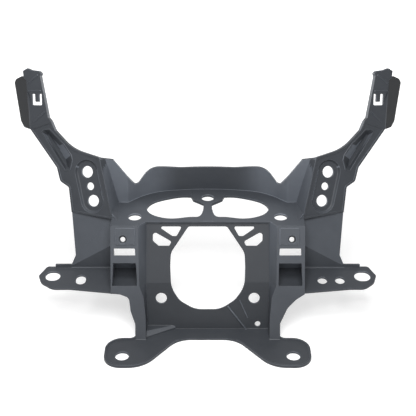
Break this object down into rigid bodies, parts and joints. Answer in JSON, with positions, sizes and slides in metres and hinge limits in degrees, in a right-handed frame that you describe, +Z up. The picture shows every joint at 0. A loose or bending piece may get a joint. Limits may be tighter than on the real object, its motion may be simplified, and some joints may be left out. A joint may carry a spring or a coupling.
{
  "type": "motorcycle fairing stay",
  "caption": "Moulded black plastic stay that carries a motorcycle's headlight, instrument, mirrors and upper fairing on two bolted feet.",
  "frame": {"origin": "midway between the two foot bolts, on the underside of the feet", "axes": "+X across, towards the arm on the picture's right; -Y forward; +Z up, square to the feet"},
  "size_m": [0.4428, 0.2311, 0.2538],
  "materials": {
    "black_plastic": "matte, lightly grained mould surface"
  },
  "bodies": {
    "root": {"fairing_stay": "black_plastic"}
  },
  "joints": []
}
